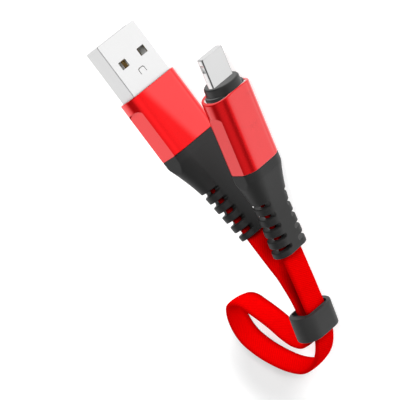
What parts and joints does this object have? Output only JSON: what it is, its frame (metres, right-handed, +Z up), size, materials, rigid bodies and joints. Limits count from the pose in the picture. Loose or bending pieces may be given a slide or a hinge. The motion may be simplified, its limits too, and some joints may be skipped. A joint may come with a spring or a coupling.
{
  "type": "charging cable",
  "caption": "Short flat charging cable joining a USB plug and a small phone plug, with the doubled lead gathered in a sliding keeper band.",
  "frame": {"origin": "centre, in plan, of the box round both plugs and the keeper band, at the level of the surface the cable lies on", "axes": "+Y along the phone plug towards its tip, +Z up from the surface, +X from the USB plug's side to the phone plug's side"},
  "size_m": [0.0309, 0.0836, 0.0152],
  "materials": {
    "steel_shell": "nickel-plated sheet steel, satin",
    "white_plastic": "moulded white plastic",
    "gold_contacts": "gold-plated contacts",
    "solder": "dull solder",
    "wire_insulation": "coloured wire insulation",
    "crimp_steel": "pressed sheet steel",
    "inner_mould": "moulded dark plastic",
    "red_sleeve": "satin red coating on a metal sleeve",
    "black_boot": "moulded matt black strain relief",
    "tongue_metal": "satin plated metal",
    "black_collar": "moulded black plastic",
    "circuit_board": "green lacquer",
    "chip_plastic": "moulded chip body",
    "board_parts": "ceramic parts",
    "red_cable": "smooth flexible jacket, semi-matt",
    "band_rubber": "moulded soft band, matt"
  },
  "bodies": {
    "lead_and_plugs": {"usb_shell": "steel_shell", "usb_contact_block": "white_plastic", "usb_contacts": "gold_contacts", "usb_solder_joints": "solder", "usb_wires": "wire_insulation", "usb_crimp": "crimp_steel", "usb_inner_mould": "inner_mould", "usb_sleeve": "red_sleeve", "usb_boot": "black_boot", "phone_tongue": "tongue_metal", "phone_contact_carrier": "white_plastic", "phone_contacts": "gold_contacts", "phone_collar": "black_collar", "phone_end_insert": "white_plastic", "phone_circuit_board": "circuit_board", "phone_control_chip": "chip_plastic", "phone_board_parts": "board_parts", "phone_solder_joints": "solder", "phone_wires": "wire_insulation", "phone_crimp": "crimp_steel", "phone_inner_mould": "inner_mould", "phone_sleeve": "red_sleeve", "phone_boot": "black_boot", "flat_cable": "red_cable"},
    "band": {"keeper_band": "band_rubber"}
  },
  "joints": [
    {"name": "keeper_slide", "type": "slide", "parent": "lead_and_plugs", "child": "band", "axis": [0, 1, 0], "range_m": [0, 0.004]}
  ]
}
